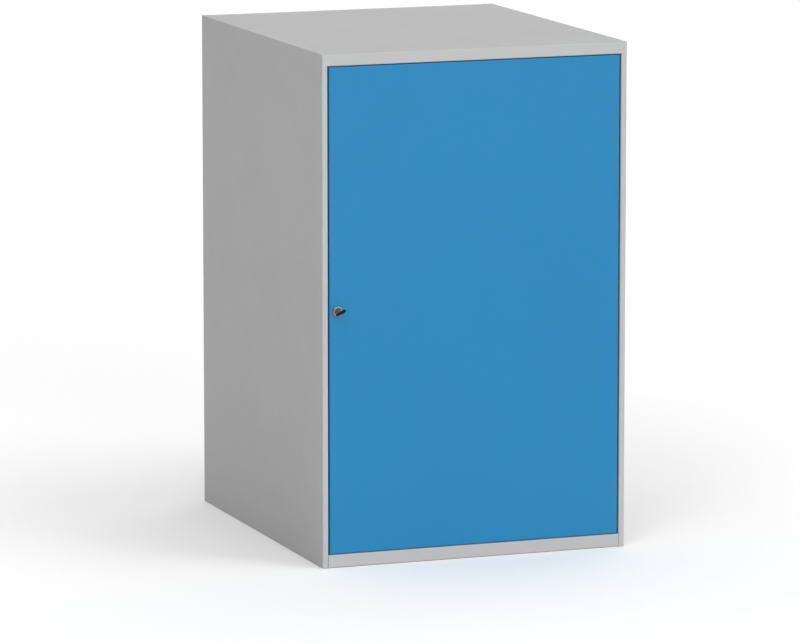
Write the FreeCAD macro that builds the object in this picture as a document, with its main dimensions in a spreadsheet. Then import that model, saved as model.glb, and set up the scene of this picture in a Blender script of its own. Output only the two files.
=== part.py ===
import FreeCAD, Part
import math
import os

import Sketcher

# Free-standing steel cabinet with one flush door. Millimetres, +Z up, +X to the
# right seen from the front, the front faces -Y. The origin is on the floor under
# the middle of the carcass.

V = FreeCAD.Vector
os.makedirs("parts", exist_ok=True)
doc = FreeCAD.newDocument("door_cabinet")


class Q:
    """A number together with the sheet formula that gives it."""

    def __init__(self, v, s):
        self.v = float(v)
        self.s = s

    def __add__(self, o):
        o = as_q(o)
        return Q(self.v + o.v, "(%s + %s)" % (self.s, o.s))

    def __radd__(self, o):
        return as_q(o) + self

    def __sub__(self, o):
        o = as_q(o)
        return Q(self.v - o.v, "(%s - %s)" % (self.s, o.s))

    def __rsub__(self, o):
        return as_q(o) - self

    def __mul__(self, o):
        o = as_q(o)
        return Q(self.v * o.v, "(%s * %s)" % (self.s, o.s))

    def __rmul__(self, o):
        return as_q(o) * self

    def __truediv__(self, o):
        o = as_q(o)
        return Q(self.v / o.v, "(%s / %s)" % (self.s, o.s))

    def __neg__(self):
        return Q(-self.v, "(0 - %s)" % self.s)


def as_q(o):
    if isinstance(o, Q):
        return o
    o = float(o)
    return Q(o, "%.6f" % o) if o >= 0 else Q(o, "(0 - %.6f)" % -o)


# ---------------------------------------------------------------- dimension sheet
SIZES = [
    ("cab_w", 510.0, "overall width"),
    ("cab_d", 590.0, "overall depth of the carcass"),
    ("cab_h", 810.0, "overall height"),
    ("sheet", 1.0, "sheet thickness of carcass, door and shelves"),
    ("bend", 2.0, "outer bend radius"),
    ("bend_in", 1.0, "inner bend radius"),
    ("strip_w", 9.6, "front strip of the sides"),
    ("jamb_d", 22.0, "jamb return depth"),
    ("jamb_lip", 8.0, "lip behind the jamb"),
    ("rear_flange", 18.0, "rear flange of the sides"),
    ("seam_top", 0.3, "open seam between side strip and top lip"),
    ("seam_bot", 0.4, "open seam between side strip and bottom rail"),
    ("top_lip", 18.85, "front lip of the top"),
    ("rail_d", 22.0, "depth of the top and bottom rail returns"),
    ("stop_drop", 10.0, "drop of the door-stop lip"),
    ("stop_end", 195.0, "right end of the door-stop lip"),
    ("tray", 19.0, "side and rear flanges of the top"),
    ("base_h", 20.95, "height of the cabinet floor"),
    ("upstand", 18.0, "rear upstand of the cabinet floor"),
    ("gap_left", 2.0, "door gap on the lock side"),
    ("gap_right", 2.4, "door gap on the hinge side"),
    ("gap_top", 1.1, "door gap above"),
    ("gap_bot", 0.9, "door gap below"),
    ("door_d", 20.0, "door depth"),
    ("hem", 12.0, "hem of the door pan"),
    ("hinge_in", 11.0, "pivot axis from the hinge edge of the door"),
    ("hinge_back", 7.0, "pivot axis behind the door front"),
    ("pin_r", 3.0, "pivot pin radius"),
    ("bush_r", 5.0, "bush outer radius"),
    ("run_fit", 0.05, "radial running clearance"),
    ("plate_t", 3.0, "hinge plate thickness"),
    ("lock_in", 13.9, "lock axis from the lock edge of the door"),
    ("lock_z", 407.0, "lock axis height"),
    ("rosette_r", 8.2, "lock face radius"),
    ("rosette_t", 2.2, "lock face thickness"),
    ("barrel_r", 7.0, "lock barrel radius"),
    ("plug_r", 5.0, "lock plug radius"),
    ("cam_len", 16.0, "cam arm from axis to tip centre"),
    ("cam_r", 6.0, "cam tip radius"),
    ("cam_t", 2.5, "cam thickness"),
    ("key_turn", 25.0, "key angle as seen in the photo"),
    ("bow_w", 17.0, "key bow width"),
    ("bow_l", 10.0, "key bow length"),
    ("bow_t", 2.8, "key bow thickness"),
    ("chan_w", 30.0, "shelf rail width"),
    ("chan_d", 12.0, "shelf rail depth"),
    ("chan_t", 1.2, "shelf rail sheet thickness"),
    ("slot_first", 60.0, "height of the lowest slot"),
    ("slot_step", 32.0, "slot spacing"),
    ("slot_w", 12.0, "slot width"),
    ("slot_h", 4.0, "slot height"),
    ("front_rail_y", -200.0, "position of the front shelf rails"),
    ("rear_rail_y", 230.0, "position of the rear shelf rails"),
    ("shelf_h", 25.0, "shelf flange height"),
    ("shelf_lip", 10.0, "shelf lower lip"),
    ("shelf_gap", 1.5, "shelf side clearance to the rails"),
    ("shelf_front", -245.0, "front edge of the shelves"),
    ("shelf_rear", 285.0, "rear edge of the shelves"),
]
dims = doc.addObject("Spreadsheet::Sheet", "dims")
P = {}
for row, (alias, value, note) in enumerate(SIZES, 1):
    dims.set("A%d" % row, note)
    dims.set("B%d" % row, str(value))
    dims.setAlias("B%d" % row, alias)
    P[alias] = Q(value, "dims." + alias)
doc.recompute()

sheet, bend, bend_in = P["sheet"], P["bend"], P["bend_in"]
hw, hd, top = P["cab_w"] / 2, P["cab_d"] / 2, P["cab_h"]
yf, yb = -hd, hd
xj = hw - P["strip_w"]
yl = yf + P["jamb_d"]
zr = top - P["top_lip"]
zf = P["base_h"]
dl, dr = -xj + P["gap_left"], xj - P["gap_right"]
db, dt = zf + P["gap_bot"], zr - P["gap_top"]
ydb = yf + P["door_d"]
ax, ay = dr - P["hinge_in"], yf + P["hinge_back"]
lx, lz = dl + P["lock_in"], P["lock_z"]

BODIES = []


# ---------------------------------------------------------------- drawing helpers
def new_body(label):
    body = doc.addObject("PartDesign::Body", label)
    body.Label = label
    if hasattr(body, "AllowCompound"):
        body.AllowCompound = True
    BODIES.append(body)
    return body


def origin_feature(body, role):
    for f in body.Origin.OriginFeatures:
        if f.Role == role:
            return f
    raise RuntimeError("no origin feature " + role)


def new_sketch(body, role, at):
    sk = body.newObject("Sketcher::SketchObject", "outline")
    sk.AttachmentSupport = [(origin_feature(body, role), "")]
    sk.MapMode = "FlatFace"
    at = as_q(at)
    sk.AttachmentOffset = FreeCAD.Placement(V(0, 0, at.v), FreeCAD.Rotation())
    sk.setExpression("AttachmentOffset.Base.z", at.s)
    return sk


def pin_point(cons, exprs, base, geo, pos, x, y):
    """Fixes one point of a sketch at (x, y), measured from the sketch origin."""
    for kind, axis, q in (("DistanceX", -2, x), ("DistanceY", -1, y)):
        if abs(q.v) < 1e-9:
            cons.append(Sketcher.Constraint("PointOnObject", geo, pos, axis))
        else:
            cons.append(Sketcher.Constraint(kind, -1, 1, geo, pos, q.v))
            exprs.append((base + len(cons) - 1, q.s))


def draw(sk, loops=(), circles=()):
    for pts in loops:
        pts = [(as_q(x), as_q(y)) for x, y in pts]
        n, first, base = len(pts), sk.GeometryCount, sk.ConstraintCount
        sk.addGeometry(
            [
                Part.LineSegment(V(a[0].v, a[1].v, 0), V(b[0].v, b[1].v, 0))
                for a, b in zip(pts, pts[1:] + pts[:1])
            ],
            False,
        )
        cons, exprs = [], []
        for i in range(n):
            cons.append(Sketcher.Constraint("Coincident", first + i, 2, first + (i + 1) % n, 1))
        for i, (x, y) in enumerate(pts):
            pin_point(cons, exprs, base, first + i, 1, x, y)
        sk.addConstraint(cons)
        for k, s in exprs:
            sk.setExpression("Constraints[%d]" % k, s)
    for x, y, r in circles:
        x, y, r = as_q(x), as_q(y), as_q(r)
        geo, base = sk.GeometryCount, sk.ConstraintCount
        sk.addGeometry(Part.Circle(V(x.v, y.v, 0), V(0, 0, 1), r.v), False)
        cons, exprs = [], []
        pin_point(cons, exprs, base, geo, 3, x, y)
        cons.append(Sketcher.Constraint("Radius", geo, r.v))
        exprs.append((base + len(cons) - 1, r.s))
        sk.addConstraint(cons)
        for k, s in exprs:
            sk.setExpression("Constraints[%d]" % k, s)


def rect(x0, y0, x1, y1):
    return [(x0, y0), (x1, y0), (x1, y1), (x0, y1)]


def add(body, role, lo, hi, loops=(), circles=()):
    """Material between two planes: lo and hi along the plane's world axis."""
    lo, hi = as_q(lo), as_q(hi)
    sk = new_sketch(body, role, -hi if role == "XZ_Plane" else lo)
    draw(sk, loops, circles)
    f = body.newObject("PartDesign::Pad", "pad")
    f.Profile = sk
    f.Length = (hi - lo).v
    f.setExpression("Length", (hi - lo).s)
    sk.Visibility = False
    doc.recompute()
    return f


def cut(body, role, lo, hi, loops=(), circles=()):
    """Takes the material between two planes away, and makes sure that it did."""
    lo, hi = as_q(lo), as_q(hi)
    before = body.Shape.Volume
    sk = new_sketch(body, role, -lo if role == "XZ_Plane" else hi)
    draw(sk, loops, circles)
    f = body.newObject("PartDesign::Pocket", "pocket")
    f.Profile = sk
    f.Length = (hi - lo).v
    f.setExpression("Length", (hi - lo).s)
    sk.Visibility = False
    doc.recompute()
    if not body.Shape.Volume < before - 1e-3:
        raise RuntimeError("nothing was cut from " + body.Label)
    return f


def line_edges(body, axis, **at):
    """Names of the straight edges along an axis that pass through a point."""
    k = "xyz".index(axis)
    names = []
    for i, e in enumerate(body.Tip.Shape.Edges, 1):
        if not isinstance(e.Curve, Part.Line):
            continue
        a, b = e.Vertexes[0].Point, e.Vertexes[-1].Point
        d = (b - a).normalize()
        if abs(abs(d[k]) - 1) > 1e-6:
            continue
        if all(abs(a["xyz".index(c)] - as_q(q).v) < 1e-4 for c, q in at.items()):
            names.append("Edge%d" % i)
    return names


def ring_edges(body, radius, axis, at):
    """Names of the circular edges of a radius in a plane across an axis."""
    k = "xyz".index(axis)
    names = []
    for i, e in enumerate(body.Tip.Shape.Edges, 1):
        if isinstance(e.Curve, Part.Circle) and abs(e.Curve.Radius - as_q(radius).v) < 1e-4:
            if abs(e.Curve.Center[k] - as_q(at).v) < 1e-4:
                names.append("Edge%d" % i)
    return names


def round_off(body, radius, names):
    radius = as_q(radius)
    if not names:
        raise RuntimeError("no edge to round on " + body.Label)
    tip = body.Tip
    f = body.newObject("PartDesign::Fillet", "bend_radius")
    f.Base = (tip, names)
    f.Radius = radius.v
    f.setExpression("Radius", radius.s)
    doc.recompute()
    if f.State and "Invalid" in f.State:
        raise RuntimeError("rounding failed on " + body.Label)
    return f


def bevel(body, size, names):
    size = as_q(size)
    if not names:
        raise RuntimeError("no edge to bevel on " + body.Label)
    tip = body.Tip
    f = body.newObject("PartDesign::Chamfer", "bevel")
    f.Base = (tip, names)
    f.Size = size.v
    f.setExpression("Size", size.s)
    doc.recompute()
    return f


def put(body, x, y, z, turn=None):
    """Moves a finished piece from its own frame to its place in the cabinet."""
    x, y, z = as_q(x), as_q(y), as_q(z)
    rot = FreeCAD.Rotation(V(0, -1, 0), turn.v if turn else 0)
    body.Placement = FreeCAD.Placement(V(x.v, y.v, z.v), rot)
    for axis, q in (("x", x), ("y", y), ("z", z)):
        body.setExpression("Placement.Base." + axis, q.s)
    if turn:
        body.setExpression("Placement.Rotation.Angle", turn.s + " * 1 deg")


# ---------------------------------------------------------------- side panels
def side_panel(label, s):
    body = new_body(label)
    xo, xi = s * hw, s * (hw - sheet)
    xjam, xjin = s * xj, s * (xj + sheet)
    xlip = s * (xj + P["jamb_lip"])
    xfl = s * (hw - P["rear_flange"])
    add(
        body,
        "XY_Plane",
        0,
        top,
        [
            [
                (xo, yf),
                (xjam, yf),
                (xjam, yl),
                (xlip, yl),
                (xlip, yl - sheet),
                (xjin, yl - sheet),
                (xjin, yf + sheet),
                (xi, yf + sheet),
                (xi, yb - sheet),
                (xfl, yb - sheet),
                (xfl, yb),
                (xo, yb),
            ]
        ],
    )
    outer = []
    for x, y in ((xo, yf), (xjam, yf), (xjam, yl), (xo, yb)):
        outer += line_edges(body, "z", x=x, y=y)
    round_off(body, bend, outer)
    inner = []
    for x, y in ((xi, yf + sheet), (xjin, yf + sheet), (xjin, yl - sheet), (xi, yb - sheet)):
        inner += line_edges(body, "z", x=x, y=y)
    round_off(body, bend_in, inner)
    # The jamb stops under the top sheet, the strip runs to the very top.
    cut(
        body,
        "XY_Plane",
        top - sheet,
        top + 1,
        [rect(s * (xj - 1), yf + sheet, xi, yl + 1)],
    )
    return body


side_panel("left_side_panel", -1)
side_panel("right_side_panel", 1)

# ---------------------------------------------------------------- top
xin = hw - sheet
y_tray = yb - 2 * sheet
rivet_xs = [-200.0, -100.0, 0.0, 100.0, 200.0]
rivet_top, rivet_bot = top - 10, zf + 10
screw_x1, screw_x2 = ax - 22, ax - 11
screw_y = ay + 2

b = new_body("top_panel")
xt = xj - P["seam_top"]
y_rail = yf + P["rail_d"]
add(
    b,
    "YZ_Plane",
    -xt,
    xt,
    [
        [
            (yf, top),
            (yf, zr),
            (y_rail, zr),
            (y_rail, zr - P["stop_drop"]),
            (y_rail + sheet, zr - P["stop_drop"]),
            (y_rail + sheet, zr + sheet),
            (yf + sheet, zr + sheet),
            (yf + sheet, top - sheet),
            (yf + 3 * sheet, top - sheet),
            (yf + 3 * sheet, top),
        ]
    ],
)
round_off(
    b,
    bend,
    line_edges(b, "x", y=yf, z=top)
    + line_edges(b, "x", y=yf, z=zr)
    + line_edges(b, "x", y=y_rail + sheet, z=zr + sheet),
)
round_off(
    b,
    bend_in,
    line_edges(b, "x", y=yf + sheet, z=top - sheet)
    + line_edges(b, "x", y=yf + sheet, z=zr + sheet)
    + line_edges(b, "x", y=y_rail, z=zr),
)
add(
    b,
    "XY_Plane",
    top - sheet,
    top,
    [
        [
            (-xin, yf + sheet),
            (-xt, yf + sheet),
            (-xt, yf + 3 * sheet),
            (xt, yf + 3 * sheet),
            (xt, yf + sheet),
            (xin, yf + sheet),
            (xin, y_tray),
            (-xin, y_tray),
        ]
    ],
)
add(b, "XZ_Plane", y_tray - sheet, y_tray, [rect(-xin, top - P["tray"], xin, top)])
round_off(b, bend, line_edges(b, "x", y=y_tray, z=top))
round_off(b, bend_in, line_edges(b, "x", y=y_tray - sheet, z=top - sheet))
for s in (-1, 1):
    add(
        b,
        "XY_Plane",
        top - P["tray"],
        top - sheet / 2,
        [rect(s * xin, yl + 3, s * (xin - sheet), y_tray - 5)],
    )
cut(
    b,
    "XY_Plane",
    zr - P["stop_drop"] - 1,
    zr + sheet + 1,
    [rect(P["stop_end"], yf + P["rail_d"] - 1, xt + 1, yf + P["rail_d"] + 5)],
)
cut(
    b,
    "XY_Plane",
    zr - 1,
    zr + sheet + 1,
    circles=[(ax, ay, P["pin_r"] + 0.1), (screw_x1, screw_y, 2.6), (screw_x2, screw_y, 2.6)],
)
cut(
    b,
    "XZ_Plane",
    y_tray - sheet - 1,
    y_tray + 1,
    circles=[(x, rivet_top, 1.65) for x in rivet_xs],
)

# ---------------------------------------------------------------- bottom
b = new_body("bottom_panel")
xb = xj - P["seam_bot"]
add(b, "XY_Plane", zf - sheet, zf, [rect(-xin, yl + 0.3, xin, y_tray)])
add(
    b,
    "YZ_Plane",
    -xb,
    xb,
    [
        [
            (yf, zf),
            (yf, 0),
            (yf + P["rail_d"], 0),
            (yf + P["rail_d"], sheet),
            (yf + sheet, sheet),
            (yf + sheet, zf - sheet),
            (yl + 3, zf - sheet),
            (yl + 3, zf),
        ]
    ],
)
add(b, "XZ_Plane", y_tray - sheet, y_tray, [rect(-xin, zf - sheet, xin, zf + P["upstand"])])
round_off(
    b,
    bend,
    line_edges(b, "x", y=yf, z=zf)
    + line_edges(b, "x", y=yf, z=0)
    + line_edges(b, "x", y=y_tray, z=zf - sheet),
)
round_off(
    b,
    bend_in,
    line_edges(b, "x", y=yf + sheet, z=zf - sheet)
    + line_edges(b, "x", y=yf + sheet, z=sheet)
    + line_edges(b, "x", y=y_tray - sheet, z=zf),
)
for s in (-1, 1):
    add(
        b,
        "XY_Plane",
        0,
        zf - sheet / 2,
        [rect(s * xin, yl + 2, s * (xin - sheet), y_tray - 5)],
    )
cut(
    b,
    "XY_Plane",
    zf - sheet - 1,
    zf + 1,
    circles=[(ax, ay, P["pin_r"] + 0.1), (screw_x1, screw_y, 2.6), (screw_x2, screw_y, 2.6)],
)
cut(
    b,
    "XZ_Plane",
    y_tray - sheet - 1,
    y_tray + 1,
    circles=[(x, rivet_bot, 1.65) for x in rivet_xs],
)

b = new_body("floor_stiffener")
zs = zf - sheet
add(
    b,
    "YZ_Plane",
    2 - xin,
    xin - 2,
    [
        [
            (-20, 0),
            (20, 0),
            (20, zs - 1),
            (35, zs - 1),
            (35, zs),
            (19, zs),
            (19, 1),
            (-19, 1),
            (-19, zs),
            (-35, zs),
            (-35, zs - 1),
            (-20, zs - 1),
        ]
    ],
)
edges = []
for y, z in ((-20, 0), (20, 0), (-19, zs), (19, zs)):
    edges += line_edges(b, "x", y=y, z=z)
round_off(b, bend, edges)
edges = []
for y, z in ((-19, 1), (19, 1), (-20, zs - 1), (20, zs - 1)):
    edges += line_edges(b, "x", y=y, z=z)
round_off(b, bend_in, edges)

# ---------------------------------------------------------------- back
b = new_body("back_panel")
xk = hw - 2.5 * sheet
add(b, "XZ_Plane", y_tray, yb - sheet, [rect(-xk, sheet, xk, top - sheet / 2)])
rivet_at = [(x, z) for z in (rivet_top, rivet_bot) for x in rivet_xs]
cut(b, "XZ_Plane", y_tray - 1, yb, circles=[(x, z, 1.65) for x, z in rivet_at])

b = new_body("back_panel_rivets")
add(b, "XZ_Plane", yb - sheet, yb, circles=[(x, z, 3.5) for x, z in rivet_at])
round_off(b, 0.7, ring_edges(b, 3.5, "y", yb))
add(b, "XZ_Plane", y_tray - sheet, yb - sheet / 2, circles=[(x, z, 1.6) for x, z in rivet_at])
add(b, "XZ_Plane", y_tray - sheet - 1.5, y_tray - sheet, circles=[(x, z, 2.4) for x, z in rivet_at])
round_off(b, 0.8, ring_edges(b, 2.4, "y", y_tray - sheet - 1.5))

# ---------------------------------------------------------------- shelf rails
SLOTS = 22


def shelf_rail(label, s, yc):
    body = new_body(label)
    w, d, t = P["chan_w"] / 2, P["chan_d"], P["chan_t"]
    wall, face = s * xin, s * (xin - d)
    back = s * (xin - d + t)
    add(
        body,
        "XY_Plane",
        zf + 0.5,
        top - P["tray"] - 4,
        [
            [
                (wall, yc - w),
                (face, yc - w),
                (face, yc + w),
                (wall, yc + w),
                (wall, yc + w - t),
                (back, yc + w - t),
                (back, yc - w + t),
                (wall, yc - w + t),
            ]
        ],
    )
    round_off(
        body,
        bend,
        line_edges(body, "z", x=face, y=yc - w) + line_edges(body, "z", x=face, y=yc + w),
    )
    round_off(
        body,
        0.8,
        line_edges(body, "z", x=back, y=yc - w + t) + line_edges(body, "z", x=back, y=yc + w - t),
    )
    z0 = P["slot_first"]
    x_in, x_out = (face - 1, back + 1) if s > 0 else (back - 1, face + 1)
    first = cut(
        body,
        "YZ_Plane",
        x_in,
        x_out,
        [
            rect(
                yc - P["slot_w"] / 2,
                z0 - P["slot_h"] / 2,
                yc + P["slot_w"] / 2,
                z0 + P["slot_h"] / 2,
            )
        ],
    )
    before = body.Shape.Volume
    row_ = body.newObject("PartDesign::LinearPattern", "slots")
    row_.Originals = [first]
    row_.Direction = (origin_feature(body, "Z_Axis"), [""])
    row_.Length = (P["slot_step"] * (SLOTS - 1)).v
    row_.setExpression("Length", (P["slot_step"] * (SLOTS - 1)).s)
    row_.Occurrences = SLOTS
    body.Tip = row_
    doc.recompute()
    if not body.Shape.Volume < before - 10:
        raise RuntimeError("slots missing on " + label)
    return body


for s, side in ((-1, "left"), (1, "right")):
    shelf_rail("shelf_rail_%s_front" % side, s, P["front_rail_y"])
    shelf_rail("shelf_rail_%s_rear" % side, s, P["rear_rail_y"])

# ---------------------------------------------------------------- shelves and clips
face_x = xin - P["chan_d"]
LEVELS = [("upper", 14), ("lower", 6)]
for name, k in LEVELS:
    zc = P["slot_first"] + P["slot_step"] * k
    z_low = zc + 1
    z_top = z_low + P["shelf_h"]
    xs, y0, y1 = face_x - P["shelf_gap"], P["shelf_front"], P["shelf_rear"]
    b = new_body(name + "_shelf")
    add(b, "XY_Plane", z_low, z_top, [rect(-xs, y0, xs, y1)])
    cut(
        b,
        "XY_Plane",
        z_low - 1,
        z_top - sheet,
        [rect(-xs + sheet, y0 + sheet, xs - sheet, y1 - sheet)],
    )
    edges = []
    for y in (y0, y1):
        edges += line_edges(b, "x", y=y, z=z_top)
    for x in (-xs, xs):
        edges += line_edges(b, "y", x=x, z=z_top)
    round_off(b, bend, edges)
    for ya, yb_ in ((y0, y0 + P["shelf_lip"]), (y1 - P["shelf_lip"], y1)):
        add(b, "XY_Plane", z_low, z_low + sheet, [rect(-xs + sheet / 2, ya, xs - sheet / 2, yb_)])

    b = new_body(name + "_shelf_clips")
    t = P["chan_t"]
    for yc in (P["front_rail_y"], P["rear_rail_y"]):
        for s in (-1, 1):
            hook_a, hook_b = s * (face_x + t + 0.2), s * (face_x + t + 2.0)
            leg_a, leg_b = s * (face_x - 0.2), s * (face_x - 2.2)
            tip_x = s * (face_x - 15.0)
            outline = [
                (hook_b, zc - 1),
                (leg_a, zc - 1),
                (leg_a, zc - 13),
                (leg_b, zc - 13),
                (leg_b, zc - 1),
                (tip_x, zc - 1),
                (tip_x, zc + 1),
                (hook_a, zc + 1),
                (hook_a, zc + 9),
                (hook_b, zc + 9),
            ]
            add(b, "XZ_Plane", yc - 5, yc + 5, [outline])

# ---------------------------------------------------------------- hinge hardware
for name, z_lo, z_hi in (
    ("upper", zr + sheet, zr + sheet + P["plate_t"]),
    ("lower", zf - sheet - P["plate_t"], zf - sheet),
):
    b = new_body(name + "_hinge_plate")
    add(b, "XY_Plane", z_lo, z_hi, [rect(ax - 29, yf + 2.1, ax + 8, yf + 20)])
    cut(
        b,
        "XY_Plane",
        z_lo - 1,
        z_hi + 1,
        circles=[(ax, ay, P["pin_r"]), (screw_x1, screw_y, 2.52), (screw_x2, screw_y, 2.52)],
    )
    corners = []
    for x in (ax - 29, ax + 8):
        corners += line_edges(b, "z", x=x, y=yf + 20)
    round_off(b, 3.0, corners)

pin_reach = 15.0
b = new_body("upper_hinge_pin")
add(b, "XY_Plane", zr - pin_reach, zr + sheet + P["plate_t"], circles=[(ax, ay, P["pin_r"])])
add(
    b,
    "XY_Plane",
    zr + sheet + P["plate_t"],
    zr + sheet + P["plate_t"] + 2,
    circles=[(ax, ay, P["pin_r"] + 1.4)],
)
bevel(b, 0.8, ring_edges(b, P["pin_r"], "z", zr - pin_reach))

b = new_body("lower_hinge_pin")
add(b, "XY_Plane", zf - sheet - P["plate_t"], zf + pin_reach, circles=[(ax, ay, P["pin_r"])])
add(
    b,
    "XY_Plane",
    zf - sheet - P["plate_t"] - 2,
    zf - sheet - P["plate_t"],
    circles=[(ax, ay, P["pin_r"] + 1.4)],
)
bevel(b, 0.8, ring_edges(b, P["pin_r"], "z", zf + pin_reach))

b = new_body("hinge_plate_screws")
z_up, z_dn = zr + sheet + P["plate_t"], zf - sheet - P["plate_t"]
spots = [(screw_x1, screw_y), (screw_x2, screw_y)]
add(b, "XY_Plane", zr + 0.1, z_up, circles=[(x, y, 2.5) for x, y in spots])
add(b, "XY_Plane", z_up, z_up + 2.6, circles=[(x, y, 4.4) for x, y in spots])
add(b, "XY_Plane", z_dn, zf - 0.1, circles=[(x, y, 2.5) for x, y in spots])
add(b, "XY_Plane", z_dn - 2.6, z_dn, circles=[(x, y, 4.4) for x, y in spots])
round_off(b, 1.0, ring_edges(b, 4.4, "z", z_up + 2.6) + ring_edges(b, 4.4, "z", z_dn - 2.6))


def hexagon(cx, cy, across):
    r = across / math.sqrt(3.0)
    return [
        (cx + r * math.cos(math.radians(60 * i)), cy + r * math.sin(math.radians(60 * i)))
        for i in range(6)
    ]


cut(b, "XY_Plane", z_up + 1.0, z_up + 3.6, [hexagon(x, y, 3.0) for x, y in spots])
cut(b, "XY_Plane", z_dn - 3.6, z_dn - 1.0, [hexagon(x, y, 3.0) for x, y in spots])

# ---------------------------------------------------------------- door stop
y_stop = yf + P["rail_d"]
b = new_body("lower_stop_bracket")
stop_x = -xj + 20.0
add(
    b,
    "YZ_Plane",
    stop_x - 10,
    stop_x + 10,
    [
        [
            (y_stop, zf),
            (y_stop + 22, zf),
            (y_stop + 22, zf + 1.5),
            (y_stop + 1.5, zf + 1.5),
            (y_stop + 1.5, zf + 18),
            (y_stop, zf + 18),
        ]
    ],
)
round_off(b, bend, line_edges(b, "x", y=y_stop, z=zf))
round_off(b, 0.6, line_edges(b, "x", y=y_stop + 1.5, z=zf + 1.5))

b = new_body("door_buffers")
buffer_at = [
    (-xj + 20.0, zr - P["stop_drop"] / 2),
    (as_q(-60.0), zr - P["stop_drop"] / 2),
    (stop_x, zf + 9.0),
]
add(b, "XZ_Plane", y_stop - 1.6, y_stop, circles=[(x, z, 4.5) for x, z in buffer_at])
round_off(b, 0.7, ring_edges(b, 4.5, "y", y_stop - 1.6))

# ---------------------------------------------------------------- door
b = new_body("door_skin")
add(b, "XZ_Plane", yf, ydb, [rect(dl, db, dr, dt)])
cut(
    b,
    "XZ_Plane",
    yf + sheet,
    ydb + 1,
    [rect(dl + sheet, db + sheet, dr - sheet, dt - sheet)],
)
round_off(
    b,
    bend,
    line_edges(b, "x", y=yf, z=db)
    + line_edges(b, "x", y=yf, z=dt)
    + line_edges(b, "z", x=dl, y=yf)
    + line_edges(b, "z", x=dr, y=yf),
)
round_off(
    b,
    bend_in,
    line_edges(b, "x", y=yf + sheet, z=db + sheet)
    + line_edges(b, "x", y=yf + sheet, z=dt - sheet)
    + line_edges(b, "z", x=dl + sheet, y=yf + sheet)
    + line_edges(b, "z", x=dr - sheet, y=yf + sheet),
)
hem, e = P["hem"], sheet / 2
frame_in = rect(dl + hem, db + hem, dr - hem, dt - hem)
add(b, "XZ_Plane", ydb - sheet, ydb, [rect(dl + e, db + e, dr - e, dt - e), frame_in])
round_off(
    b,
    0.9,
    line_edges(b, "x", y=ydb, z=db)
    + line_edges(b, "x", y=ydb, z=dt)
    + line_edges(b, "z", x=dl, y=ydb)
    + line_edges(b, "z", x=dr, y=ydb),
)
# Lock hole, and the gap in the hem that the lock barrel passes through.
cut(b, "XZ_Plane", yf - 1, yf + 2, circles=[(lx, lz, P["barrel_r"] + 0.1)])
cut(
    b,
    "XZ_Plane",
    ydb - sheet - 0.5,
    ydb + 1,
    [rect(dl + 3, lz - 13, dl + hem + 1, lz + 13)],
)
# Bush holes in the top and bottom returns.
cut(b, "XY_Plane", db - 1, db + sheet + 1, circles=[(ax, ay, P["bush_r"] + 0.02)])
cut(b, "XY_Plane", dt - sheet - 1, dt + 1, circles=[(ax, ay, P["bush_r"] + 0.02)])

b = new_body("door_stiffener")
yi = yf + sheet
add(
    b,
    "XY_Plane",
    db + sheet + 1.5,
    dt - sheet - 1.5,
    [
        [
            (-40, yi),
            (-24, yi),
            (-24, yi + 15),
            (24, yi + 15),
            (24, yi),
            (40, yi),
            (40, yi + 1),
            (25, yi + 1),
            (25, yi + 16),
            (-25, yi + 16),
            (-25, yi + 1),
            (-40, yi + 1),
        ]
    ],
)
round_off(
    b,
    bend,
    line_edges(b, "z", x=-25, y=yi + 16)
    + line_edges(b, "z", x=25, y=yi + 16)
    + line_edges(b, "z", x=-24, y=yi)
    + line_edges(b, "z", x=24, y=yi),
)
round_off(
    b,
    bend_in,
    line_edges(b, "z", x=-24, y=yi + 15)
    + line_edges(b, "z", x=24, y=yi + 15)
    + line_edges(b, "z", x=-25, y=yi + 1)
    + line_edges(b, "z", x=25, y=yi + 1),
)

for name, z_lo, z_hi in (
    ("upper", dt - sheet - P["plate_t"], dt - sheet),
    ("lower", db + sheet, db + sheet + P["plate_t"]),
):
    b = new_body(name + "_door_hinge_plate")
    add(b, "XY_Plane", z_lo, z_hi, [rect(ax - 20, yf + 2.1, dr - sheet - 0.2, ydb - 2.2)])
    cut(b, "XY_Plane", z_lo - 1, z_hi + 1, circles=[(ax, ay, P["bush_r"] + 0.02)])
    round_off(b, 3.0, line_edges(b, "z", x=ax - 20, y=ydb - 2.2))

bush_len, flange_r, flange_t = 9.0, 6.0, 0.6
b = new_body("lower_hinge_bush")
add(b, "XY_Plane", db - flange_t, db, circles=[(ax, ay, flange_r)])
add(b, "XY_Plane", db - flange_t / 2, db + bush_len, circles=[(ax, ay, P["bush_r"])])
cut(b, "XY_Plane", db - 4, db + bush_len + 1, circles=[(ax, ay, P["pin_r"] + P["run_fit"])])
bevel(b, 0.6, ring_edges(b, P["bush_r"], "z", db + bush_len))

b = new_body("upper_hinge_bush")
add(b, "XY_Plane", dt, dt + flange_t, circles=[(ax, ay, flange_r)])
add(b, "XY_Plane", dt - bush_len, dt + flange_t / 2, circles=[(ax, ay, P["bush_r"])])
cut(b, "XY_Plane", dt - bush_len - 1, dt + 4, circles=[(ax, ay, P["pin_r"] + P["run_fit"])])
bevel(b, 0.6, ring_edges(b, P["bush_r"], "z", dt - bush_len))

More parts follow.
